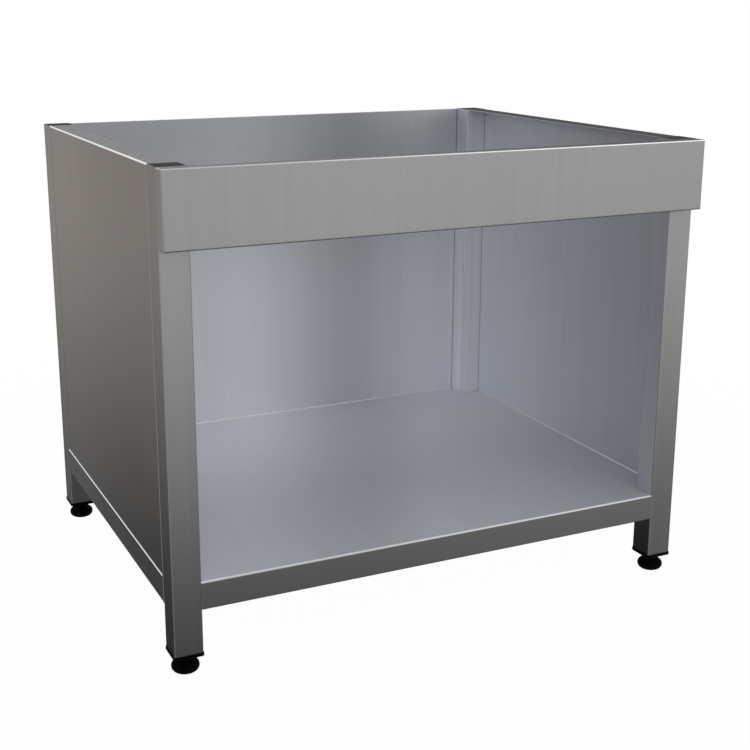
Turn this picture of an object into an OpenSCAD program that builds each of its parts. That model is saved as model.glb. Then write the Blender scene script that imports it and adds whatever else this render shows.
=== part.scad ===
// Welded stainless steel stand for a table-top stove: four square legs on levelling feet, a folded
// bottom shelf, side and back panels, and a folded front fascia. The top is open between the side
// flanges. Millimetres, +Z up, +X to the right, the fascia faces -Y. The origin is on the floor, under
// the middle of the stand's box.

/* [Stand] */
// Width over the outer faces of the legs
stand_w = 800; // [600:10:1200]
// Depth from the front face of the front legs to the rear face of the rear legs
stand_d = 630; // [450:10:800]
// Height from the floor to the top of the legs
stand_h = 670; // [500:10:900]

/* [Legs] */
// Outer side of the square leg tube
tube_w = 40; // [40:1:50]
// Wall of the leg tube
tube_t = 1.5; // [1:0.1:2]
// Outer radius of the tube's long edges
tube_r = 2.5; // [2.2:0.1:4]

/* [Sheet metal] */
// Thickness of every folded sheet
sheet_t = 1; // [0.8:0.1:1.5]
// Outer radius of every bend
bend_r = 3; // [2.5:0.1:4]

/* [Shelf] */
// Height of the shelf's upper face above the floor
shelf_z = 130; // [110:5:250]
// Height of the skirts folded down round the shelf
skirt_h = 40; // [35:1:60]
// Width of the lip folded in at the bottom of each skirt
skirt_lip = 15; // [10:1:25]
// Gap between the shelf's corner notches and the legs
notch_gap = 0.3; // [0.1:0.1:1]
// Width of the bend reliefs beside the legs
relief_w = 1.5; // [1:0.1:3]
// Length of the bend reliefs, inward from the bend
relief_l = 12; // [6:1:20]

/* [Shelf stiffener] */
// Height of the hat section under the shelf
hat_h = 25; // [15:1:30]
// Width of the hat's lower, closed side
hat_w = 50; // [30:1:90]
// Width of each foot of the hat, spot welded to the shelf
hat_foot_w = 18; // [12:1:30]
// Distance from each end of the hat to the outer face of the skirts
hat_end_gap = 8; // [6:1:40]

/* [Side panels] */
// Distance of the panel's outer face behind the legs' outer faces
side_inset = 1; // [0.5:0.1:2]
// Width of the flange folded in along the panel's top
flange_w = 34; // [24:1:60]
// Diameter of the fixing holes in the flanges
fixing_hole_d = 7; // [5:0.5:9]
// Distance from the panel's front and rear edges to the centres of its fixing holes
fixing_hole_end = 80; // [30:5:150]

/* [Back panel] */
// Distance of the panel's rear face in front of the legs' rear faces
back_inset = 3; // [2.5:0.1:8]
// Height of the hem folded flat behind the panel's top edge
hem_h = 12; // [8:1:20]

/* [Fascia] */
// Height of the fascia
fascia_h = 100; // [60:1:160]
// Depth of the fascia in front of the legs
fascia_d = 20; // [12:1:40]
// Height of the lips folded at the rear of its top and bottom flanges
fascia_lip = 12; // [8:1:20]

/* [Top plugs] */
// Gap between the plug's head and the inside of the tube
plug_gap = 0.1; // [0.05:0.05:0.3]
// Thickness of the plug's head
plug_head_t = 3; // [2:0.5:5]
// Depth of the plug in the tube, head included
plug_depth = 20; // [15:1:30]
// Wall of the plug's sleeve
plug_wall = 2; // [1.2:0.1:3]

/* [Foot inserts] */
// Thickness of the insert's flange under the tube
insert_flange_t = 5; // [3:0.5:8]
// Overhang of the flange past the tube's faces
insert_over = 1; // [0:0.1:2]
// Depth of the insert in the tube
insert_depth = 30; // [24:1:45]
// Wall of the insert's sleeve
insert_wall = 2.2; // [1.5:0.1:3]
// Diameter of the hub that holds the nut
hub_d = 24; // [23:0.5:28]
// Thickness of the four webs between hub and sleeve
web_t = 2; // [1.2:0.1:3]
// Gap round the stud where it passes through the plastic
stud_pass_gap = 0.4; // [0.2:0.1:1]

/* [Gripping fins] */
// Number of fins round each plug and insert
fin_count = 3; // [2:1:4]
// Thickness of a fin
fin_t = 1; // [0.8:0.1:1.5]

/* [Nuts] */
// Width across the flats of the moulded-in nut
nut_af = 17; // [16:0.5:19]
// Height of the nut
nut_h = 8; // [6:0.5:10]
// Height of the nut's lower face above the tube's lower end
nut_up = 4; // [3:0.5:12]

/* [Levelling feet] */
// Thread diameter of the stud
stud_d = 10; // [8:1:10]
// Bevel at the stud's upper end, which stays above the nut when the foot is screwed right out
stud_bevel = 0.5; // [0.5:0.25:2]
// Radial running clearance of the stud in its nut and of the ball in its socket
run_gap = 0.05; // [0.02:0.01:0.09]
// Diameter of the plastic base
base_d = 38; // [34:1:50]
// Radius of the base's rounded rim
rim_r = 7.5; // [7.2:0.1:9]
// Height of the widest part of the base above the floor
rim_z = 7; // [6:0.5:7]
// Diameter of the base's neck
neck_d = 25; // [18:1:26]
// Height of the base, neck included
base_h = 16; // [16:0.5:20]
// Diameter of the stud's ball end
ball_d = 13; // [12:0.5:14]
// Height of the ball's centre above the floor
ball_z = 9.5; // [9:0.1:10]
// Diameter of the stud between ball and hexagon
shank_d = 7.5; // [6:0.1:8]
// Gap between the shank and the mouth of the socket
mouth_gap = 1.4; // [1:0.1:1.6]
// Gap between the base's neck and the hexagon
hex_gap = 0.5; // [0.3:0.1:2]
// Width across the flats of the plastic hexagon moulded on the stud
hex_af = 22; // [17:1:24]
// Height of the hexagon
hex_h = 7; // [5:0.5:10]
// Room between the hexagon and the insert, by which the foot can be screwed in
retract_room = 1.5; // [1.5:0.5:4]
// Distance by which the foot can be screwed out
extend_travel = 24; // [10:1:24]

/* [Hidden] */
$fn = 64;
// Overlap that joins two solids of one piece, and overshoot of a cutting solid
eps = 0.01;
cut = 1;

CORNERS = ["front_left", "front_right", "rear_left", "rear_right"];
CORNER_PIECES = ["leg", "top_plug", "foot_insert", "insert_nut", "foot_stud", "foot_hexagon", "foot_base"];
SHEET_PIECES = ["shelf", "shelf_stiffener", "side_panel_left", "side_panel_right", "back_panel", "fascia"];

// Heights, from the floor up
hex_z = base_h + hex_gap;
insert_z = hex_z + hex_h + retract_room;
tube_z = insert_z + insert_flange_t;
nut_z = tube_z + nut_up;
stud_top_z = nut_z + nut_h + extend_travel + stud_bevel;

// Places across the stand. The box runs from the fascia's face to the rear edge of the insert flanges.
half_w = stand_w / 2;
box_d = fascia_d + stand_d + insert_over;
fascia_y = -box_d / 2;
front_y = fascia_y + fascia_d;
rear_y = front_y + stand_d;
mid_y = (front_y + rear_y) / 2;
between_w = stand_w - 2 * tube_w;
between_d = stand_d - 2 * tube_w;

// Tube, plug and insert sections
bore_w = tube_w - 2 * tube_t;
bore_r = tube_r - tube_t;
plug_w = bore_w - 2 * plug_gap;

// Sheet places
side_x = half_w - side_inset;
back_y = rear_y - back_inset;
fixing_x = side_x - flange_w / 2;
fixing_y = between_d / 2 - fixing_hole_end;

// Colours
STEEL = [0.60, 0.60, 0.59];
STEEL_COOL = [0.58, 0.59, 0.62];
PLASTIC = [0.05, 0.05, 0.055];
PLUG_GREY = [0.22, 0.22, 0.24];
ZINC = [0.70, 0.71, 0.73];

function is_right(corner) = corner == "front_right" || corner == "rear_right";
function is_rear(corner) = corner == "rear_left" || corner == "rear_right";
function leg_x(corner) = (is_right(corner) ? 1 : -1) * (half_w - tube_w / 2);
function leg_y(corner) = is_rear(corner) ? rear_y - tube_w / 2 : front_y + tube_w / 2;
// Radius of a hexagon's corners from its width across flats
function hex_r(af) = af / (2 * cos(30));

// Moves what is modelled on the Z axis to the middle of one leg
module at_leg(corner) {
    translate([leg_x(corner), leg_y(corner), 0]) children();
}

// A square with rounded corners, centred
module round_square(w, r) {
    square([w - 2 * r, w], center = true);
    square([w, w - 2 * r], center = true);
    for (sx = [-1, 1], sy = [-1, 1])
        translate([sx * (w / 2 - r), sy * (w / 2 - r)]) circle(r);
}

// A square tube with rounded edges, on the Z axis
module square_tube(w, wall, r, h) {
    difference() {
        linear_extrude(h) round_square(w, r);
        translate([0, 0, -cut]) linear_extrude(h + 2 * cut) round_square(w - 2 * wall, r - wall);
    }
}

// A quarter of a folded bend, in the corner that lies towards +X and +Y of its centre
module bend_2d() {
    intersection() {
        difference() {
            circle(bend_r);
            circle(bend_r - sheet_t);
        }
        square(bend_r + cut);
    }
}

// Extrudes a section along X from 0, with the section's X as the stand's Y and its Y as Z
module along_x(length) {
    rotate([90, 0, 90]) linear_extrude(length) children();
}

// Extrudes a section along Y from 0, with the section's X as the stand's X and its Y as Z
module along_y(length) {
    translate([0, length, 0]) rotate([90, 0, 0]) linear_extrude(length) children();
}

// Thin fins round a plug or an insert, which grip the inside of the tube
module grip_fins(z_low, z_high) {
    step = (z_high - z_low - fin_t) / (fin_count - 1);
    for (i = [0 : fin_count - 1])
        translate([0, 0, z_low + i * step]) linear_extrude(fin_t) round_square(bore_w, bore_r);
}

// Leg: a length of square tube, closed by a plug above and an insert below
module leg(corner) {
    color(STEEL)
        at_leg(corner)
            translate([0, 0, tube_z]) square_tube(tube_w, tube_t, tube_r, stand_h - tube_z);
}

// Plug: a moulded cap that sits in the top of the leg, level with the tube's end
module top_plug(corner) {
    low_z = stand_h - plug_depth;
    color(PLUG_GREY)
        at_leg(corner)
            difference() {
                union() {
                    translate([0, 0, low_z]) linear_extrude(plug_depth) round_square(plug_w, bore_r);
                    grip_fins(low_z + fin_t, stand_h - plug_head_t - fin_t);
                }
                translate([0, 0, low_z - cut])
                    linear_extrude(plug_depth - plug_head_t + cut)
                        square(plug_w - 2 * plug_wall, center = true);
            }
}

// Insert: a moulded sleeve with a hub for the nut and a flange that the tube stands on
module foot_insert(corner) {
    inner_w = plug_w - 2 * insert_wall;
    pass_r = stud_d / 2 + stud_pass_gap;
    color(PLASTIC)
        at_leg(corner)
            difference() {
                union() {
                    translate([0, 0, insert_z])
                        linear_extrude(insert_flange_t)
                            round_square(tube_w + 2 * insert_over, tube_r + insert_over);
                    difference() {
                        union() {
                            translate([0, 0, tube_z])
                                linear_extrude(insert_depth) round_square(plug_w, bore_r);
                            grip_fins(tube_z + fin_t, tube_z + insert_depth - fin_t);
                        }
                        translate([0, 0, tube_z])
                            linear_extrude(insert_depth + cut) square(inner_w, center = true);
                    }
                    translate([0, 0, tube_z]) cylinder(d = hub_d, h = insert_depth);
                    for (turn = [0, 90])
                        rotate([0, 0, turn])
                            translate([-inner_w / 2 - eps, -web_t / 2, tube_z])
                                cube([inner_w + 2 * eps, web_t, insert_depth]);
                }
                translate([0, 0, insert_z - cut])
                    cylinder(r = pass_r, h = insert_flange_t + insert_depth + 2 * cut);
                translate([0, 0, nut_z]) cylinder(r = hex_r(nut_af), h = nut_h, $fn = 6);
            }
}

// Nut: a steel hexagon nut moulded into the insert's hub
module insert_nut(corner) {
    color(ZINC)
        at_leg(corner)
            translate([0, 0, nut_z])
                difference() {
                    cylinder(r = hex_r(nut_af), h = nut_h, $fn = 6);
                    translate([0, 0, -cut]) cylinder(r = stud_d / 2 + run_gap, h = nut_h + 2 * cut);
                }
}

// Stud: a threaded rod that turns in the nut, with a shank and a ball below. The thread is drawn as a
// plain cylinder of its outer diameter.
module foot_stud(corner) {
    color(ZINC)
        at_leg(corner) {
            translate([0, 0, hex_z]) cylinder(d = stud_d, h = stud_top_z - stud_bevel - hex_z);
            translate([0, 0, stud_top_z - stud_bevel])
                cylinder(d1 = stud_d, d2 = stud_d - 2 * stud_bevel, h = stud_bevel);
            translate([0, 0, ball_z]) cylinder(d = shank_d, h = hex_z - ball_z + eps);
            translate([0, 0, ball_z]) sphere(d = ball_d);
        }
}

// Hexagon: moulded round the stud, and turned with a spanner to level the stand
module foot_hexagon(corner) {
    color(PLASTIC)
        at_leg(corner)
            translate([0, 0, hex_z])
                difference() {
                    cylinder(r = hex_r(hex_af), h = hex_h, $fn = 6);
                    translate([0, 0, -cut]) cylinder(d = stud_d, h = hex_h + 2 * cut);
                }
}

// Base: a moulded round foot with a rounded rim, whose socket holds the stud's ball
module foot_base(corner) {
    socket_r = ball_d / 2 + run_gap;
    mouth_r = shank_d / 2 + mouth_gap;
    color(PLASTIC)
        at_leg(corner)
            difference() {
                rotate_extrude()
                    intersection() {
                        union() {
                            square([base_d / 2 - rim_r, rim_z + rim_r]);
                            translate([base_d / 2 - rim_r, rim_z]) circle(rim_r);
                            square([neck_d / 2, base_h]);
                        }
                        square([base_d, base_h]);
                    }
                translate([0, 0, ball_z]) sphere(r = socket_r);
                translate([0, 0, ball_z]) cylinder(r = mouth_r, h = base_h - ball_z + cut);
            }
}

// Section of a skirt: bend, wall, lower bend and lip. X runs inward from its face, Y up from its top.
module skirt_2d() {
    translate([bend_r, -bend_r]) rotate(90) bend_2d();
    translate([0, bend_r - skirt_h]) square([sheet_t, skirt_h - 2 * bend_r]);
    translate([bend_r, bend_r - skirt_h]) rotate(180) bend_2d();
    translate([bend_r, -skirt_h]) square([skirt_lip - bend_r, sheet_t]);
}

// Bend reliefs: a narrow slot beside each of the two leg faces that a corner notch runs round
module bend_reliefs(half_len_x, half_len_y) {
    translate([0, 0, shelf_z - sheet_t - cut])
        linear_extrude(sheet_t + 2 * cut) {
            translate([half_len_x - relief_w, stand_d / 2 - bend_r - relief_l])
                square([relief_w + cut, relief_l]);
            translate([half_w - bend_r - relief_l, half_len_y - relief_w])
                square([relief_l, relief_w + cut]);
        }
}

// Shelf: one folded sheet, notched round the legs, with a skirt and a lip on each side
module shelf() {
    long_w = between_w - 2 * notch_gap;
    long_d = between_d - 2 * notch_gap;
    color(STEEL_COOL)
        difference() {
            union() {
                translate([-half_w + bend_r, mid_y - long_d / 2, shelf_z - sheet_t])
                    cube([stand_w - 2 * bend_r, long_d, sheet_t]);
                translate([-long_w / 2, front_y + bend_r, shelf_z - sheet_t])
                    cube([long_w, stand_d - 2 * bend_r, sheet_t]);
                translate([-long_w / 2, front_y, shelf_z]) along_x(long_w) skirt_2d();
                translate([-long_w / 2, rear_y, shelf_z]) mirror([0, 1, 0]) along_x(long_w) skirt_2d();
                for (side = [0, 1])
                    mirror([side, 0, 0])
                        translate([-half_w, mid_y - long_d / 2, shelf_z]) along_y(long_d) skirt_2d();
            }
            for (mx = [0, 1], my = [0, 1])
                translate([0, mid_y, 0])
                    mirror([mx, 0, 0]) mirror([0, my, 0]) bend_reliefs(long_w / 2, long_d / 2);
        }
}

// Stiffener: a folded hat section that runs across under the shelf and is spot welded to it
module shelf_stiffener() {
    length = stand_w - 2 * hat_end_gap;
    color(STEEL_COOL)
        translate([-length / 2, mid_y, shelf_z - sheet_t])
            along_x(length) {
                translate([-hat_w / 2, -hat_h]) square([hat_w, sheet_t]);
                for (side = [0, 1])
                    mirror([side, 0]) {
                        translate([hat_w / 2 - sheet_t, -hat_h]) square([sheet_t, hat_h]);
                        translate([hat_w / 2 - sheet_t, -sheet_t]) square([hat_foot_w + sheet_t, sheet_t]);
                    }
            }
}

// Side panel: stands on the shelf between a front and a rear leg, with a drilled flange folded in along
// its top
module side_panel(side) {
    color(STEEL)
        mirror([side, 0, 0])
            difference() {
                translate([-side_x, mid_y - between_d / 2, 0])
                    along_y(between_d) {
                        translate([0, shelf_z]) square([sheet_t, stand_h - bend_r - shelf_z]);
                        translate([bend_r, stand_h - bend_r]) rotate(90) bend_2d();
                        translate([bend_r, stand_h - sheet_t]) square([flange_w - bend_r, sheet_t]);
                    }
                for (end = [-1, 1])
                    translate([-fixing_x, mid_y + end * fixing_y, stand_h - sheet_t - cut])
                        cylinder(d = fixing_hole_d, h = sheet_t + 2 * cut);
            }
}

// Back panel: stands on the shelf between the rear legs, with its top edge hemmed to the rear
module back_panel() {
    color(STEEL_COOL)
        translate([-between_w / 2, back_y, 0])
            along_x(between_w) {
                translate([-sheet_t, shelf_z]) square([sheet_t, stand_h - sheet_t - shelf_z]);
                translate([0, stand_h - hem_h]) square([sheet_t, hem_h - sheet_t]);
                translate([0, stand_h - sheet_t])
                    intersection() {
                        circle(sheet_t);
                        translate([-sheet_t, 0]) square([2 * sheet_t, sheet_t]);
                    }
            }
}

// A block as deep as the fascia, rounded along its top, bottom and end edges by the radius r, set in
// from the fascia's outside by the distance in, and running on to the rear by the distance out
module fascia_block(in, r, out) {
    h = fascia_h - 2 * in;
    w = stand_w - 2 * in;
    d = fascia_d - in + out;
    intersection() {
        translate([-w / 2, fascia_y + in, stand_h - fascia_h + in])
            along_x(w) {
                translate([r, 0]) square([d - r, h]);
                translate([0, r]) square([d, h - 2 * r]);
                for (z = [r, h - r]) translate([r, z]) circle(r);
            }
        translate([0, fascia_y + in, stand_h - fascia_h + in])
            linear_extrude(h) {
                translate([-w / 2, r]) square([w, d - r]);
                translate([r - w / 2, 0]) square([w - 2 * r, d]);
                for (side = [-1, 1]) translate([side * (w / 2 - r), r]) circle(r);
            }
    }
}

// Fascia: a folded front with top, bottom and end flanges that are welded to the front legs, and a lip
// at the rear of the top and bottom flanges, between the legs
module fascia() {
    low_z = stand_h - fascia_h;
    color(STEEL) {
        difference() {
            fascia_block(0, bend_r, 0);
            fascia_block(sheet_t, bend_r - sheet_t, cut);
        }
        for (z = [low_z + sheet_t - eps, stand_h - fascia_lip])
            translate([-between_w / 2, front_y - sheet_t, z])
                cube([between_w, sheet_t, fascia_lip - sheet_t + eps]);
    }
}

shelf();
shelf_stiffener();
side_panel(0);  // side_panel_left
side_panel(1);  // side_panel_right
back_panel();
fascia();
for (corner = CORNERS) {
    leg(corner);
    top_plug(corner);
    foot_insert(corner);
    insert_nut(corner);
    foot_stud(corner);
    foot_hexagon(corner);
    foot_base(corner);
}
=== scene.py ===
import math

import bmesh
import bpy
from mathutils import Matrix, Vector


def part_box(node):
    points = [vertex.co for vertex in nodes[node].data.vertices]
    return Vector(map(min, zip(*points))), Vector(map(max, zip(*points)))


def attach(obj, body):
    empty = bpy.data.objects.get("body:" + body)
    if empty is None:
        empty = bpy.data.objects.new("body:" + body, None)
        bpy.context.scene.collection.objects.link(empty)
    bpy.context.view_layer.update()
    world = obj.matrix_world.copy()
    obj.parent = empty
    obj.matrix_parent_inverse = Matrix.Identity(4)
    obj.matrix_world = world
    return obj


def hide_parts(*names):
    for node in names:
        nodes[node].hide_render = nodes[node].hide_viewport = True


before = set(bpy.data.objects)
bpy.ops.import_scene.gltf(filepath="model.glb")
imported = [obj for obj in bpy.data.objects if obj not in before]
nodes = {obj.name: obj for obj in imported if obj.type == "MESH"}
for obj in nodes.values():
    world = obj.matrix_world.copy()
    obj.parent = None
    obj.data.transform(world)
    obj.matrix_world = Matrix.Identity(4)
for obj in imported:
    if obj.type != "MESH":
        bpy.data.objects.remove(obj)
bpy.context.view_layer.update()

# Welded stainless steel stand for a table-top stove, on four levelling feet. Metres, Z up, the fascia
# faces -Y, and the floor is at height 0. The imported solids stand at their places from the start.
bpy.context.scene.view_settings.view_transform = "Standard"


# Camera: a normal lens a little above the stand's top, to the left of its front. Its slight shift only
# sets the stand in the frame as the photograph has it.
camera_place = (-0.82134, -1.76835, 0.85411)
camera_tilt, camera_turn = math.radians(75.22), math.radians(-25.03)
bpy.ops.object.select_all(action="DESELECT")
bpy.ops.object.camera_add(location=camera_place, rotation=(camera_tilt, 0, camera_turn))
camera = bpy.context.object
camera.data.sensor_width, camera.data.lens = 36, 61.208
camera.data.shift_x, camera.data.shift_y = 0.02471, -0.04409
camera.data.clip_end = 60
bpy.context.scene.camera = camera


# Floor, air and lamps: a plain white studio. The floor and the air show white to the camera and in the
# steel, and the floor keeps the stand's soft shadow. One soft box in front and one above light it.
class Wire:
    """An output of a shader node. Sums on it add Math nodes, and node() adds a node of any kind."""

    def __init__(self, tree, socket=None):
        self.tree, self.socket = tree, socket

    def node(self, kind, settings, inputs, output=0):
        """Adds a node. Its settings come first, then the value or the link of each of its sockets."""
        made = self.tree.nodes.new("ShaderNode" + kind)
        for name, value in settings.items():
            setattr(made, name, value)
        for name, value in inputs.items():
            if isinstance(value, Wire):
                self.tree.links.new(value.socket, made.inputs[name])
            else:
                made.inputs[name].default_value = value
        return Wire(self.tree, made.outputs[output])

    def beside(self, output):
        """Another output of the same node."""
        return Wire(self.tree, self.socket.node.outputs[output])

    def math(self, operation, *values):
        """A Math node on wires or numbers."""
        return self.node("Math", {"operation": operation}, dict(enumerate(values)))

    def ramp(self, low, high, at_low=0.0, at_high=1.0):
        """Goes smoothly from at_low to at_high as this value goes from low to high."""
        return self.node("MapRange", {"interpolation_type": "SMOOTHSTEP"}, {
            "Value": self, "From Min": low, "From Max": high, "To Min": at_low, "To Max": at_high})

    def colour_mix(self, first, second):
        """The first colour where this value is 0, and the second where it is 1."""
        return self.node("Mix", {"data_type": "RGBA"}, {0: self, 6: first, 7: second}, 2)

    def __add__(self, other):
        return self.math("ADD", self, other)

    def __sub__(self, other):
        return self.math("SUBTRACT", self, other)

    def __mul__(self, other):
        return self.math("MULTIPLY", self, other)

    def __rsub__(self, other):
        return self.math("SUBTRACT", other, self)

    __radd__, __rmul__ = __add__, __mul__


def fresh_material(name):
    """A material with nothing but its output, the wire from which its nodes are made, and its end."""
    material = bpy.data.materials.new(name)
    material.use_nodes = True
    material.node_tree.nodes.clear()
    out = material.node_tree.nodes.new("ShaderNodeOutputMaterial")
    start = Wire(material.node_tree)

    def finish_with(shader):
        start.tree.links.new(shader.socket, out.inputs["Surface"])
        return material
    return start, finish_with


def seen_directly(start):
    """1 for what the camera, the steel and clear things see, and 0 for soft light."""
    lens = start.node("LightPath", {}, {}, "Is Camera Ray")
    mirrored = start.math("MAXIMUM", lens.beside("Is Glossy Ray"), lens.beside("Is Transmission Ray"))
    return start.math("MAXIMUM", lens, mirrored)


WHITE = (1, 1, 1, 1)
floor_paint = (0.90, 0.90, 0.90, 1)
floor_white_near, floor_white_far = 0.975, 1.0
floor_near, floor_far = 0.5, 2.0
bpy.ops.object.select_all(action="DESELECT")
bpy.ops.mesh.primitive_plane_add(size=60, location=(0, 0, 0))
floor = bpy.context.object
floor.name = "floor"
start, finish_with = fresh_material("studio_floor")
spot = start.node("TexCoord", {}, {}, "Object")
away = start.node("VectorMath", {"operation": "LENGTH"}, {0: spot}, "Value")
whitened = seen_directly(start) * away.ramp(floor_near, floor_far, floor_white_near, floor_white_far)
matt = start.node("BsdfDiffuse", {}, {"Color": floor_paint})
glow = start.node("Emission", {}, {"Color": WHITE, "Strength": 1.0})
floor.data.materials.append(finish_with(start.node("MixShader", {}, {0: whitened, 1: matt, 2: glow})))

air_soft = 0.6
world = bpy.data.worlds.new("studio_air")
world.use_nodes = True
world.node_tree.nodes.clear()
bpy.context.scene.world = world
start = Wire(world.node_tree)
air_level = seen_directly(start) * (1 - air_soft) + air_soft
air = start.node("Background", {}, {"Color": WHITE, "Strength": air_level})
air_out = world.node_tree.nodes.new("ShaderNodeOutputWorld")
world.node_tree.links.new(air.socket, air_out.inputs["Surface"])


def soft_box(name, place, aim, width, height, level, tint):
    """A studio soft box. Its level is how bright its face is, where 1 is white."""
    lamp = bpy.data.lights.new(name, "AREA")
    lamp.shape, lamp.size, lamp.size_y = "RECTANGLE", width, height
    lamp.energy = level * math.pi * width * height
    lamp.color = tint
    box = bpy.data.objects.new(name, lamp)
    bpy.context.scene.collection.objects.link(box)
    box.location = place
    box.rotation_euler = (Vector(aim) - Vector(place)).to_track_quat("-Z", "Y").to_euler()
    box.visible_camera = False


soft_box("soft_box_front", (0.8, -2.9, 0.75), (0, 0, 0.55), 6.0, 1.4, 1.3, (1, 0.995, 0.99))
soft_box("soft_box_top", (0, 0.1, 2.3), (0, 0.05, 0), 1.8, 1.8, 1.2, (0.94, 0.97, 1))


# Legs: square stainless tube, 40 mm, ground satin along its length on a belt. Its faces are painted darker
# towards the floor and the front as painted shade, and the bends of tube and sheets carry painted
# highlights.
OUTSIDE = (0.216, 0.216, 0.2155)
# Inside faces: the same steel painted brighter and bluer, as painted light from the open top.
INSIDE_LIT = (0.416, 0.427, 0.452)
# Colour of the painted highlight on the bends that look up.
BEND_HIGHLIGHT = (0.98, 0.98, 0.99)
inside_scatter, seam_shade = 0.35, 0.35
half_wide, half_deep = 0.40, 0.32
shelf_top, stand_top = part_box("shelf")[1].z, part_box("leg_front_left")[1].z


def ground_steel(name, colour, grain, edge=(0.75, 0.75, 1), inside=None, shades=(), seams=(),
                 upper=(0.40, 0.40), floor_shade=0.58, sides=1.35, graze=0.5, roughness=0.5, corner=(0.10, 0.12),
                 streak=0.21, skew=0):
    """Satin ground stainless steel, with light and shade painted into its colour.

    grain: how closely the scratches lie along X, Y and Z, in lines a metre.
    edge: how bright the painted highlight on the upper bends is at the left, at the right, and at the
    sides.
    inside: the way that the inside faces look, painted brighter and bluer as lit from the open top, or
    "middle" for a leg, whose inside faces are those towards the stand's middle.
    shades: painted light and shade on the inside: each is an axis, two places along it and the tone at
    these.
    seams: painted shade in the joints' gaps: each is an axis, where the shade begins, and where it is
    darkest.
    upper: how much darker the outside is painted where it looks up, a painted shade, at the left and at the
    right.
    floor_shade: how much darker the outside is painted towards the floor, a painted shade.
    sides: the outside's painted tone where it looks sideways, painted darker low down and at the front.
    graze: how bright the steel is where it is seen edge on.
    corner: how much brighter the painted highlight on its upright bends is, and how much more so at the
    left.
    streak: how strong the broader scratches are.
    skew: how far the shades along X turn towards Y.
    """
    start, finish_with = fresh_material(name)
    place = start.node("TexCoord", {}, {}, "Object")
    way = place.beside("Normal")
    across = start.node("SeparateXYZ", {}, {"Vector": place}, "X")
    depth, height = across.beside("Y"), across.beside("Z")
    look_x = start.node("SeparateXYZ", {}, {"Vector": way}, "X")
    look_y, look_z = look_x.beside("Y"), look_x.beside("Z")
    along = start.node("VectorMath", {"operation": "MULTIPLY"}, {0: place, 1: grain})
    fine = start.node("TexNoise", {}, {"Vector": along, "Scale": 1.0, "Detail": 3.0, "Roughness": 0.6})
    broad = start.node("TexNoise", {}, {"Vector": along, "Scale": 0.10, "Detail": 3.0, "Roughness": 0.6})
    cloud = start.node("TexNoise", {}, {"Vector": place, "Scale": 3.2, "Detail": 1.0, "Roughness": 0.4})
    streaks = (fine - 0.5) * 0.05 + (broad - 0.5) * streak + (cloud - 0.5) * 0.06 + 1.0

    # The outside: painted shade low down, at the left, at the front and sideways; painted highlights on
    # bends.
    low = height.ramp(0.54, -0.05)
    leftward = across.ramp(half_wide, -half_wide)
    forward = depth.ramp(half_deep, -half_deep)
    sideways = start.math("ABSOLUTE", look_x)
    # Painted shade on the faces that look sideways, darker low down and towards the front.
    flank = sideways.ramp(0.80, 0.98)
    fading = 1 - height.ramp(0.62, -0.2) * (forward * 0.35 + 0.55)
    side_tone = (1 - forward * 0.20) * fading * fading * sides
    # Painted shade: the outside is darker towards the floor, more so at the left and on sideways faces.
    tone = (1 - low * (leftward * 0.18 + floor_shade)) * (1 - flank) + side_tone * flank
    # Painted shade on the faces that look up, different at the left and at the right.
    tone = tone * (1 - look_z.ramp(0.3, 0.7) * across.ramp(-half_wide, half_wide, *upper))
    flat = start.math("MAXIMUM", sideways, start.math("ABSOLUTE", look_y))
    flat = start.math("MAXIMUM", flat, start.math("ABSOLUTE", look_z))
    bend = flat.ramp(0.985, 0.90)
    # Painted shade on the bends that look down.
    under = bend * look_z.ramp(-0.1, -0.6)
    base, metal, warm_reflection = (*colour, 1), 1.0, (1 - low) * flank
    # Painted highlight on the bends, stronger at the left.
    corner_highlight = bend * (leftward * corner[1] + corner[0])

    # The inside: painted brighter and bluer, with painted light and shade, and painted shade on bends and
    # gaps.
    if inside:
        if inside == "middle":
            side = start.node("VectorMath", {"operation": "SIGN"}, {0: place})
            lean = start.node("VectorMath", {"operation": "MULTIPLY"}, {0: side, 1: way})
            lean = start.node("SeparateXYZ", {}, {"Vector": lean}, "X")
            within = start.math("MINIMUM", lean, lean.beside("Y")).ramp(-0.3, -0.7)
            within = within * start.math("MAXIMUM", lean, lean.beside("Y")).ramp(0.35, 0.1)
            within = within * height.ramp(shelf_top - 0.01, shelf_top)
            # Painted light on a leg's inside faces that look sideways, stronger lower down.
            shades = [*shades, (sideways * height.ramp(0.68, 0.50), 0.2, 0.8, 1.14, 1.53)]
        else:
            lean = start.node("VectorMath", {"operation": "DOT_PRODUCT"}, {0: way, 1: inside}, "Value")
            within = lean.ramp(0.3, 0.7)
        base = within.colour_mix(base, (*INSIDE_LIT, 1))
        inside_light_and_shade = 1.0
        axes = {"X": across - depth * skew, "Y": depth, "Z": height}
        for by, low_end, high_end, at_low, at_high in shades:
            inside_light_and_shade = axes.get(by, by).ramp(low_end, high_end, at_low, at_high) * inside_light_and_shade
        for axis, sound, gap in seams:
            inside_light_and_shade = across.beside(axis).ramp(sound, gap, 1.0, seam_shade) * inside_light_and_shade
        tone = tone * (1 - within) + within * inside_light_and_shade * (1 - bend * 0.42)
        metal = 1 - within * inside_scatter
        warm_reflection = warm_reflection * (1 - within)

    # The whole: a painted warm reflection on faces that look sideways high up, painted highlights on upward
    # bends.
    tone = (tone + corner_highlight) * (1 - under * 0.6) * streaks
    # Painted warm reflection: redder and less blue on sideways faces high up.
    tone = start.node("CombineColor", {}, {0: tone * (warm_reflection * (low * 0.05 + 0.10) + 1.0), 1: tone,
                                           2: tone * (1 - warm_reflection * (low * 0.10 + 0.09))})
    face = start.node("Mix", {"data_type": "RGBA", "blend_type": "MULTIPLY"}, {0: 1.0, 6: base, 7: tone}, 2)
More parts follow.
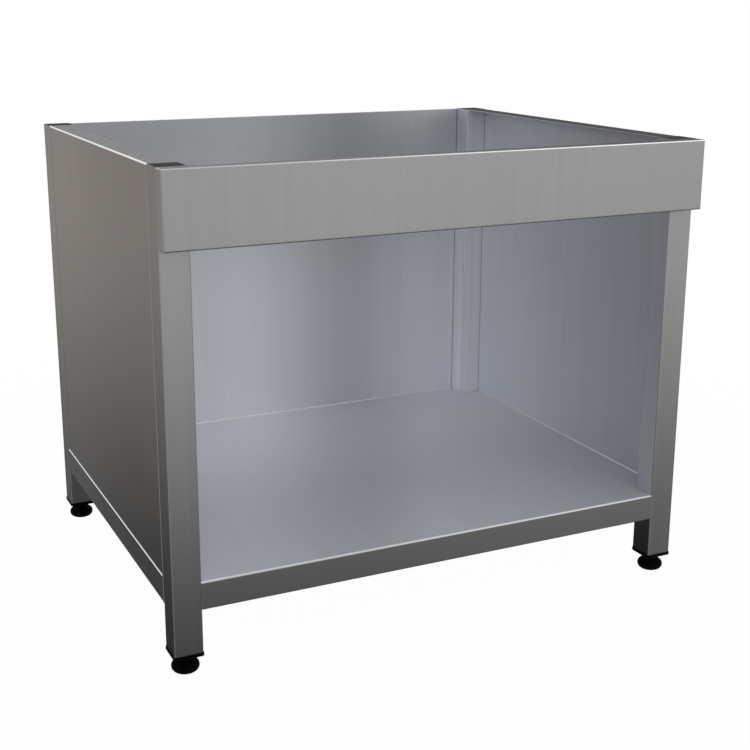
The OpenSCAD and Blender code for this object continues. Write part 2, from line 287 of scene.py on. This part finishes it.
    # Painted highlight on the bends that look up, by place and by how far they turn sideways.
    lit = start.math("MAXIMUM", across.ramp(-0.4, 0.3, *edge[:2]), sideways.ramp(0.2, 0.5, 0.0, edge[2]))
    lit = bend * look_z.ramp(0.1, 0.5) * lit
    rough = (broad - 0.5) * 0.10 + (fine - 0.5) * 0.12 + roughness
    bump = start.node("Bump", {}, {"Strength": 0.25, "Distance": 0.00006, "Height": fine})
    return finish_with(start.node("BsdfPrincipled", {}, {
        "Base Color": lit.colour_mix(face, (*BEND_HIGHLIGHT, 1)), "Metallic": metal, "Roughness": rough,
        "Normal": bump, "Specular Tint": (graze, graze, graze, 1)}))


def dress(piece, material):
    """Gives a piece its finish."""
    piece.data.materials.clear()
    piece.data.materials.append(material)


corners = {}
for corner in ("front_left", "front_right", "rear_left", "rear_right"):
    first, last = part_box("leg_" + corner)
    corners[corner] = ((first.x + last.x) / 2, (first.y + last.y) / 2)
lines, slack = 900, 9
grain_up, grain_in_x_faces = (lines, lines, slack), (slack, lines, slack)
grain_in_y_faces = (lines, slack, slack)
# The legs' inside faces carry painted light, darker at the front and lighter at the rear and low down.
leg_steel = ground_steel("leg_steel", OUTSIDE, grain_up, inside="middle", streak=0.26,
                         shades=[("Y", -0.3, 0.3, 0.60, 1.2), ("Z", 0.13, 0.45, 1.16, 1.0)])
for corner in corners:
    dress(nodes["leg_" + corner], leg_steel)


# Top plugs: moulded grey plastic caps, pushed into the tops of the legs by hand, level with the tube's
# cut end. The head has a rounded edge, and its fine grain comes from the mould.
def lone(piece):
    """Selects only this piece and makes it the one that operators work on."""
    bpy.ops.object.select_all(action="DESELECT")
    piece.select_set(True)
    bpy.context.view_layer.objects.active = piece


def copy_of(node, name):
    """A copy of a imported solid, with its loose triangles merged into one skin of plain faces."""
    piece = bpy.data.objects.new(name, nodes[node].data.copy())
    bpy.context.scene.collection.objects.link(piece)
    lone(piece)
    bpy.ops.mesh.customdata_custom_splitnormals_clear()
    bpy.ops.object.mode_set(mode="EDIT")
    bpy.ops.mesh.select_all(action="SELECT")
    bpy.ops.mesh.remove_doubles(threshold=1e-6)
    bpy.ops.mesh.dissolve_limited(angle_limit=math.radians(0.5))
    bpy.ops.object.mode_set(mode="OBJECT")
    return piece


def pick(piece, kind, wanted):
    """In edit mode, selects only the vertices, edges or faces whose middle passes the test."""
    bpy.ops.mesh.select_mode(type=kind)
    bpy.ops.mesh.select_all(action="DESELECT")
    mesh = bmesh.from_edit_mesh(piece.data)
    parts = {"VERT": mesh.verts, "EDGE": mesh.edges, "FACE": mesh.faces}[kind]
    for part in parts:
        if kind == "FACE":
            part.select = wanted(part.calc_center_median(), part.normal)
        elif kind == "EDGE":
            part.select = wanted(*(v.co for v in part.verts))
        else:
            part.select = wanted(part.co)
    mesh.select_flush_mode()
    bmesh.update_edit_mesh(piece.data)


def smooth(piece, degrees=35):
    """Shades a finished piece smooth across its small angles."""
    lone(piece)
    bpy.ops.object.shade_smooth_by_angle(angle=math.radians(degrees))


def moulded(name, colour, roughness, shine):
    """Moulded plastic with the fine spark-eroded grain of its mould, and slow patches of sheen."""
    start, finish_with = fresh_material(name)
    place = start.node("TexCoord", {}, {}, "Object")
    grain = start.node("TexNoise", {}, {"Vector": place, "Scale": 1500.0, "Detail": 2.0})
    patch = start.node("TexNoise", {}, {"Vector": place, "Scale": 90.0, "Detail": 2.0})
    bump = start.node("Bump", {}, {"Strength": 0.3, "Distance": 0.0001, "Height": grain})
    tone = (patch - 0.5) * 0.5 + 1.0
    shade = start.node("CombineColor", {}, {number: tone * level for number, level in enumerate(colour)})
    rough = (grain - 0.5) * 0.2 + (patch - 0.5) * 0.15 + roughness
    return finish_with(start.node("BsdfPrincipled", {}, {
        "Base Color": shade, "Metallic": 0.0, "Roughness": rough, "Normal": bump,
        "Specular IOR Level": shine}))


plug_plastic = moulded("plug_plastic", (0.006, 0.006, 0.007), 0.75, 0.1)
plug_edge = 0.0006
for corner in corners:
    plug = copy_of("top_plug_" + corner, "leg_cap_" + corner)
    bpy.ops.object.mode_set(mode="EDIT")
    top = stand_top - 1e-5
    pick(plug, "EDGE", lambda a, b: min(a.z, b.z) > top)
    bpy.ops.mesh.bevel(offset=plug_edge, segments=3, affect="EDGES")
    bpy.ops.object.mode_set(mode="OBJECT")
    smooth(plug)
    dress(plug, plug_plastic)
    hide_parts("top_plug_" + corner)
    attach(plug, "frame")


# Shelf: one sheet of 1 mm stainless, notched round the legs, with a skirt and a lip folded down on each
# side. A hat section is spot welded across under it. The grain runs from front to back.
# Its top carries painted light, brighter towards the rear, a painted reflection band leaning with depth,
# and painted highlights on its bends.
shelf_steel = ground_steel("shelf_steel", OUTSIDE, grain_in_y_faces, inside=(0, 0, 1), edge=(0.19, 0.47, 1),
                           sides=0.95, graze=0.6, streak=0.08, skew=0.5,
                           shades=[("Y", -0.15, 0.33, 1.24, 1.81), ("X", -0.22, 0.03, 1.0, 0.76),
                                   ("X", 0.03, 0.16, 1.0, 1.16)])
dress(nodes["shelf"], shelf_steel)
dress(nodes["shelf_stiffener"], ground_steel("stiffener_steel", OUTSIDE, (slack, lines, lines)))


# Side panels: stainless sheet, welded between the legs, with a drilled flange folded in along the top
# that the stove stands on. Their outer faces carry a painted warm reflection high up.
PANEL = (0.252, 0.252, 0.256)
# Painted shade in the gaps where the side panels meet the legs.
side_seams = [("Y", 0.2829, 0.2839), ("Y", -0.2639, -0.2649)]
left_panel_steel = ground_steel("left_panel_steel", PANEL, grain_in_x_faces, inside=(1, 0, 0),
                                seams=side_seams, upper=(0, 0), sides=1.19, streak=0.16)
# The right panel's inside carries painted light, brighter towards the rear and low down, and its flange
# painted shade.
right_panel_steel = ground_steel("right_panel_steel", PANEL, grain_in_x_faces, inside=(-1, 0, 0),
                                 shades=[("Y", -0.26, 0.28, 1.20, 1.92), ("Z", 0.15, 0.6, 0.97, 0.81)],
                                 seams=side_seams, edge=(0.22, 0.22, 0.22), upper=(0.50, 0.50),
                                 sides=1.19, graze=0.2, streak=0.15)
dress(nodes["side_panel_left"], left_panel_steel)
dress(nodes["side_panel_right"], right_panel_steel)


# Back panel: a flat stainless sheet, welded between the rear legs, a little in front of their rear faces.
# Its top edge is hemmed to the rear, and its grain runs upright.
# Painted shade in the gaps where the back panel meets the legs.
back_seams = [("X", 0.3580, 0.3592), ("X", -0.3580, -0.3592)]
# Its inside carries painted light, darker towards the top and lighter to the right, with a painted
# reflection band just right of the middle.
back_panel_steel = ground_steel("back_panel_steel", OUTSIDE, grain_in_y_faces, inside=(0, -1, 0),
                                shades=[("Z", 0.15, 0.70, 1.09, 0.66), ("X", -0.3, 0.36, 1.06, 1.50),
                                        ("X", -0.09, 0.15, 1.0, 0.66), ("X", 0.13, 0.30, 1.0, 1.39)],
                                seams=back_seams, streak=0.14)
dress(nodes["back_panel"], back_panel_steel)


# Fascia: a stainless sheet folded back on all four sides and welded to the front legs. Its four corners
# are welded too, and ground to a small round, which is cut here by flats.
fascia = copy_of("fascia", "fascia_sheet")
first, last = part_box("fascia")
corner_round, corner_flats = 0.0028, (12, 28, 45, 62, 78)
bpy.ops.object.mode_set(mode="EDIT")
for side, x in ((-1, first[0]), (1, last[0])):
    for upward, z in ((-1, first[2]), (1, last[2])):
        middle = Vector((x - side * corner_round, 0, z - upward * corner_round))
        for degrees in corner_flats:
            turn = math.radians(degrees)
            way = Vector((side * math.cos(turn), 0, upward * math.sin(turn)))
            bpy.ops.mesh.select_all(action="SELECT")
            bpy.ops.mesh.bisect(plane_co=middle + way * corner_round, plane_no=way, use_fill=True,
                                clear_outer=True)
bpy.ops.object.mode_set(mode="OBJECT")
smooth(fascia)
bpy.ops.object.mode_set(mode="EDIT")
pick(fascia, "FACE", lambda middle, normal: max(map(abs, normal)) > 0.9999)
bpy.ops.mesh.region_to_loop()
bpy.ops.mesh.mark_sharp()
bpy.ops.object.mode_set(mode="OBJECT")
# Its upper bend carries a painted highlight, faint at the left, and its top painted shade, deeper at the
# right.
dress(fascia, ground_steel("fascia_steel", OUTSIDE, grain_in_y_faces, edge=(0.17, 0.84, 0.3),
                           upper=(0.30, 0.88), sides=1.25, graze=0.75, streak=0.24))
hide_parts("fascia")
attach(fascia, "frame")


# Welds: fine beads of TIG weld with their scales, laid where the sheets meet the legs and each other. The
# outside ones are dressed down with a flap disc; the inside ones are left as laid, and painted bright and
# blue as a highlight. Three of the beads are some scales and a half long, and half_down takes a little off,
# so that the half is always left out.
scale_length, scale_waist, half_down = 0.002, 0.88, 0.01
dressed_weld = ground_steel("dressed_weld", (0.25, 0.25, 0.245), (lines, lines, lines), upper=(0, 0),
                            floor_shade=0.2, sides=1.2, graze=0.7, corner=(0, 0))
# Inside beads: their colour is painted bright and blue, a painted highlight along their joints.
weld_painted_bright = ground_steel("weld_painted_bright", (0.53, 0.57, 0.64), (lines, lines, lines), upper=(0, 0),
                           floor_shade=0, sides=1, graze=0.7, corner=(0, 0))


def weld(name, start_at, end_at, radius, material=dressed_weld):
    """A bead from one point to another, sunk in its joint. Its ends are closed."""
    start_at, end_at = Vector(start_at), Vector(end_at)
    run = end_at - start_at
    scales = max(2, round(run.length / scale_length - half_down))
    scale_long = run.length / scales
    bpy.ops.object.select_all(action="DESELECT")
    bpy.ops.mesh.primitive_cylinder_add(vertices=12, radius=radius * scale_waist, depth=scale_long,
                                        end_fill_type="NOTHING", location=(0, 0, scale_long / 2))
    piece = bpy.context.object
    piece.name = name
    bpy.ops.object.transform_apply(location=True, rotation=True, scale=True)
    bpy.ops.object.mode_set(mode="EDIT")
    bpy.ops.mesh.select_all(action="SELECT")
    bpy.ops.mesh.bisect(plane_co=(0, 0, scale_long * 0.4), plane_no=(0, 0, 1))
    bpy.ops.transform.resize(value=(1 / scale_waist, 1 / scale_waist, 1), center_override=(0, 0, 0))
    bpy.ops.object.mode_set(mode="OBJECT")
    row = piece.modifiers.new("row", "ARRAY")
    row.count, row.use_relative_offset, row.use_constant_offset = scales, False, True
    row.constant_offset_displace = (0, 0, scale_long)
    row.use_merge_vertices, row.merge_threshold = True, 2e-6
    bpy.ops.object.modifier_apply(modifier="row")
    bpy.ops.object.mode_set(mode="EDIT")
    pick(piece, "VERT", lambda at: min(at.z, run.length - at.z) < 1e-6)
    bpy.ops.mesh.fill_holes(sides=0)
    bpy.ops.mesh.select_all(action="SELECT")
    bpy.ops.mesh.normals_make_consistent(inside=False)
    bpy.ops.object.mode_set(mode="OBJECT")
    piece.rotation_euler = run.to_track_quat("Z", "Y").to_euler()
    piece.location = start_at
    bpy.ops.object.transform_apply(location=True, rotation=True, scale=True)
    smooth(piece)
    dress(piece, material)
    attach(piece, "frame")


def upright_weld(name, x, y, low, high, radius):
    """A dressed bead that runs up a leg."""
    weld(name, (x, y, low), (x, y, high), radius)


front_leg, rear_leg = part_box("leg_front_right"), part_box("leg_rear_right")
leg_inner_x, leg_outer_x = front_leg[0].x, front_leg[1].x
leg_front_y, rear_gap_y = front_leg[0].y, rear_leg[0].y
front_gap_y, leg_back_y = front_leg[1].y, rear_leg[1].y
skirt_low, skirt_high, weld_top = 0.092, 0.1275, stand_top - 0.002
fascia_low, back_low, back_high = 0.572, shelf_top + 0.0015, stand_top - 0.0035
skirt_sunk, back_sunk, end_room = 0.0009, 0.0019, 0.0015
for side, hand in ((-1, "left"), (1, "right")):
    for end, y, radius, rise in (("front", front_gap_y, 0.0014, 0.0007), ("rear", rear_gap_y, 0.0010, 0)):
        x = side * (leg_outer_x + rise - radius)
        upright_weld(f"panel_weld_{end}_{hand}", x, y, skirt_low, weld_top, radius)
    x = side * (leg_outer_x - 0.0010)
    upright_weld(f"fascia_weld_{hand}", x, leg_front_y, fascia_low, weld_top, 0.0014)
    x = side * (leg_inner_x - 0.0002)
    upright_weld(f"front_skirt_weld_{hand}", x, leg_front_y + skirt_sunk, skirt_low, skirt_high, 0.0008)
    upright_weld(f"rear_skirt_weld_{hand}", x, leg_back_y - skirt_sunk, skirt_low, skirt_high, 0.0008)
    x = side * leg_inner_x
    upright_weld(f"back_weld_{hand}", x, leg_back_y - back_sunk, back_low, back_high, 0.0013)
    x = side * (leg_outer_x - 0.0020)
    # The bead along each panel's foot carries the painted highlight colour.
    weld(f"panel_foot_weld_{hand}", (x, front_gap_y + end_room, shelf_top),
         (x, rear_gap_y - end_room, shelf_top), 0.0012, weld_painted_bright)
x, y = leg_inner_x - end_room, leg_back_y - 0.0040
weld("back_foot_weld", (-x, y, shelf_top), (x, y, shelf_top), 0.0006, weld_painted_bright)


# Foot inserts: black moulded sleeves, driven into the legs from below. Each has a flange that the tube
# stands on, and a hub with a steel nut moulded in.
foot_plastic = moulded("foot_plastic", (0.0005, 0.0005, 0.0005), 0.75, 0.03)
zinc_steel = ground_steel("zinc_steel", (0.50, 0.51, 0.53), grain_up, upper=(0, 0), floor_shade=0, sides=1,
                          roughness=0.3)
flange_low, flange_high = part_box("foot_insert_front_left")[0].z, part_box("leg_front_left")[0].z
rim_reach, rim_edge = 0.019, 0.0007
for corner, (x, y) in corners.items():
    insert = copy_of("foot_insert_" + corner, "foot_socket_" + corner)
    bpy.ops.object.mode_set(mode="EDIT")

    def on_rim(a, b):
        level = abs(a.z - b.z) < 1e-6 and min(abs(a.z - flange_low), abs(a.z - flange_high)) < 1e-5
        return level and all(max(abs(p.x - x), abs(p.y - y)) > rim_reach for p in (a, b))

    pick(insert, "EDGE", on_rim)
    bpy.ops.mesh.bevel(offset=rim_edge, segments=3, affect="EDGES")
    bpy.ops.object.mode_set(mode="OBJECT")
    smooth(insert)
    dress(insert, foot_plastic)
    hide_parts("foot_insert_" + corner)
    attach(insert, "frame")
    dress(nodes["insert_nut_" + corner], zinc_steel)


# Levelling feet: a zinc plated M10 stud with a ball end, a hexagon moulded round it for the spanner, and
# a round black base whose socket is snapped over the ball.
def drawn(name, outline):
    """A line of edges through points of radius and height in millimetres. It stays in edit mode."""
    bpy.ops.object.select_all(action="DESELECT")
    bpy.ops.mesh.primitive_plane_add(size=0.001, location=(0, 0, 0))
    piece = bpy.context.object
    piece.name = name
    bpy.ops.object.mode_set(mode="EDIT")
    bpy.ops.mesh.select_mode(type="VERT")
    bpy.ops.mesh.select_all(action="SELECT")
    bpy.ops.mesh.merge(type="CENTER")
    last = (0, 0)
    for number, point in enumerate(outline):
        step = ((point[0] - last[0]) / 1000, 0, (point[1] - last[1]) / 1000)
        if number:
            bpy.ops.mesh.extrude_vertices_move(TRANSFORM_OT_translate={"value": step})
        else:
            bpy.ops.transform.translate(value=step)
        last = point
    bpy.ops.mesh.select_all(action="SELECT")
    return piece


def turned(name, outline, steps):
    """A round piece on the upright axis, turned from its outline."""
    piece = drawn(name, outline)
    bpy.ops.mesh.spin(steps=steps, angle=2 * math.pi, center=(0, 0, 0), axis=(0, 0, 1))
    bpy.ops.mesh.select_all(action="SELECT")
    bpy.ops.mesh.remove_doubles(threshold=2e-6)
    bpy.ops.mesh.normals_make_consistent(inside=False)
    bpy.ops.object.mode_set(mode="OBJECT")
    return piece


def arc(middle, radius, start_angle, end_angle, steps):
    """Points of an arc, in millimetres and degrees from the outward side."""
    turn = [math.radians(start_angle + (end_angle - start_angle) * i / steps) for i in range(steps + 1)]
    return [(middle[0] + radius * math.cos(a), middle[1] + radius * math.sin(a)) for a in turn]


def place_copy(master, name, x, y):
    """A copy of a master piece with its own mesh, moved over to its place."""
    piece = bpy.data.objects.new(name, master.data.copy())
    bpy.context.scene.collection.objects.link(piece)
    lone(piece)
    piece.location = (x, y, 0)
    bpy.ops.object.transform_apply(location=True, rotation=False, scale=False)
    return piece


def cut(piece, tool, operation):
    """Cuts a piece with a tool, or down to what lies in it, and removes the tool."""
    lone(piece)
    knife = piece.modifiers.new("cut", "BOOLEAN")
    knife.object, knife.operation, knife.solver = tool, operation, "EXACT"
    bpy.ops.object.modifier_apply(modifier="cut")
    bpy.data.objects.remove(tool)


base_steps, rib_every = 64, 8
hollow_roof, rib_inset, rib_drop = 0.0015, 0.0002, 0.0013
ball_middle, ball_r, socket_r = (0, 9.5), 6.5, 6.6
base_underside = [(0, 0), (4.0, 0), (4.4, 0.4), (4.4, 1.5), (12.0, 1.5), (12.0, 0.4), (12.4, 0)]
base_rim = arc((11.5, 7), 7.5, -68.96, 82.3, 18)
base_neck = [(12.5, 15.4), (12.3, 15.8), (11.9, 16), (5.7, 16), (5.3, 15.85), (5.15, 15.5)]
base_socket = arc(ball_middle, socket_r, 38.7, -90, 14)
base_master = turned("base_master", base_underside + base_rim + base_neck + base_socket, base_steps)
lone(base_master)
bpy.ops.object.mode_set(mode="EDIT")


def in_rib(middle, normal):
    """Every eighth face of the hollow under the base, from which a rib comes down."""
    number = int(round(math.atan2(middle.y, middle.x) / (2 * math.pi) * base_steps - 0.5))
    return abs(middle.z - hollow_roof) < 1e-5 and abs(normal.z) > 0.9 and number % rib_every == 0


pick(base_master, "FACE", in_rib)
bpy.ops.mesh.inset(thickness=rib_inset)
bpy.ops.mesh.extrude_region_move(TRANSFORM_OT_translate={"value": (0, 0, -rib_drop)})
bpy.ops.object.mode_set(mode="OBJECT")
smooth(base_master, 40)

hexagon_low, hexagon_high, hexagon_flats, hexagon_edge = 16.5, 23.5, 22.0, 0.0008
stud_r, root_r = 5.0, 4.08
bpy.ops.object.select_all(action="DESELECT")
bpy.ops.mesh.primitive_cylinder_add(vertices=6, radius=hexagon_flats / math.sqrt(3) / 1000,
                                    depth=(hexagon_high - hexagon_low) / 1000,
                                    location=(0, 0, (hexagon_high + hexagon_low) / 2000),
                                    rotation=(0, 0, math.radians(30)))
hexagon_master = bpy.context.object
bpy.ops.object.transform_apply(location=True, rotation=True, scale=True)
rounding = hexagon_master.modifiers.new("rounding", "BEVEL")
rounding.width, rounding.segments, rounding.limit_method = hexagon_edge, 3, "ANGLE"
bpy.ops.object.modifier_apply(modifier="rounding")
chamfer_r = hexagon_flats / 2 + 0.25
blank = [(0, hexagon_low - 0.1), (chamfer_r, hexagon_low - 0.1), (chamfer_r + 2.4, hexagon_low + 1.3),
         (chamfer_r + 2.4, hexagon_high - 1.3), (chamfer_r, hexagon_high + 0.1), (0, hexagon_high + 0.1)]
cut(hexagon_master, turned("blank", blank, 96), "INTERSECT")
bore = [(0, hexagon_low - 1), (stud_r, hexagon_low - 1), (stud_r, hexagon_high + 1), (0, hexagon_high + 1)]
cut(hexagon_master, turned("bore", bore, 48), "DIFFERENCE")
smooth(hexagon_master, 30)

thread_low, thread_high, pitch, steps_a_turn = 23.0, 66.5, 1.5, 28
tooth = [(root_r, 0.0), (root_r, 0.19), (stud_r, 0.72), (stud_r, 0.91), (root_r, 1.44), (root_r, pitch)]
thread = drawn("thread", [(r, z + thread_low - 2 * pitch) for r, z in tooth])
bpy.ops.object.mode_set(mode="OBJECT")
turns = int((thread_high - thread_low) / pitch) + 4
screw = thread.modifiers.new("screw", "SCREW")
screw.axis, screw.screw_offset, screw.iterations = "Z", pitch / 1000, turns
screw.steps = screw.render_steps = steps_a_turn
screw.use_merge_vertices, screw.merge_threshold = True, 2e-6
screw.use_normal_calculate = True
bpy.ops.object.modifier_apply(modifier="screw")
bpy.ops.object.mode_set(mode="EDIT")
for height, above in ((thread_low - 0.4, False), (thread_high + 0.4, True)):
    bpy.ops.mesh.select_all(action="SELECT")
    bpy.ops.mesh.remove_doubles(threshold=2e-6)
    bpy.ops.mesh.select_all(action="SELECT")
    bpy.ops.mesh.bisect(plane_co=(0, 0, height / 1000), plane_no=(0, 0, 1), use_fill=True,
                        clear_inner=not above, clear_outer=above)
bpy.ops.mesh.select_all(action="SELECT")
bpy.ops.mesh.normals_make_consistent(inside=False)
bpy.ops.object.mode_set(mode="OBJECT")
rod = [(0, thread_low), (stud_r - 0.9, thread_low), (stud_r + 0.1, thread_low + 1),
       (stud_r + 0.1, thread_high - 1.1), (stud_r - 1.0, thread_high), (0, thread_high)]
cut(thread, turned("rod", rod, 64), "INTERSECT")

ball = arc(ball_middle, ball_r, -90, 54.8, 14)
shank = [(3.75, 15.2), (3.9, 16.5), (4.9, 16.5), (4.9, thread_low + 0.3), (4.0, thread_low + 1.2),
         (0, thread_low + 1.2)]
stud_master = turned("stud_master", ball + shank, 48)
lone(thread)
stud_master.select_set(True)
bpy.context.view_layer.objects.active = stud_master
bpy.ops.object.join()
smooth(stud_master, 30)

feet = [("foot_disc_", base_master, "foot_base_", "foot_", foot_plastic, "foot_plastic"),
        ("spanner_hexagon_", hexagon_master, "foot_hexagon_", "stud_", foot_plastic, "foot_plastic"),
        ("threaded_stud_", stud_master, "foot_stud_", "stud_", zinc_steel, "zinc_steel")]
for name, master, node, body, material, slot in feet:
    for corner, (x, y) in corners.items():
        piece = place_copy(master, name + corner, x, y)
        dress(piece, material)
        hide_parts(node + corner)
        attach(piece, body + corner)
    bpy.data.objects.remove(master)


# Spot welds: the marks of the welding tongs on the stiffener's two feet, each a shallow ring round the
# spot where the foot is welded to the shelf.
foot_underside, mark_every, marks = shelf_top - 0.002, 0.1, 8
first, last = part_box("shelf_stiffener")
stiffener_y, foot_middle = (first.y + last.y) / 2, 0.0335
mark = [(0, 0.3), (0, -0.15), (1.7, -0.15), (2.1, -0.35), (2.6, -0.30), (3.0, 0), (3.0, 0.3), (0, 0.3)]
mark_master = turned("mark_master", [(r, z + foot_underside * 1000) for r, z in mark], 24)
smooth(mark_master, 30)
for row, y in (("front", stiffener_y - foot_middle), ("rear", stiffener_y + foot_middle)):
    for number in range(marks):
        x = (number - (marks - 1) / 2) * mark_every
        piece = place_copy(mark_master, f"spot_weld_{row}_{number + 1}", x, y)
        # The marks carry the beads' painted highlight colour.
        dress(piece, weld_painted_bright)
        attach(piece, "frame")
bpy.data.objects.remove(mark_master)
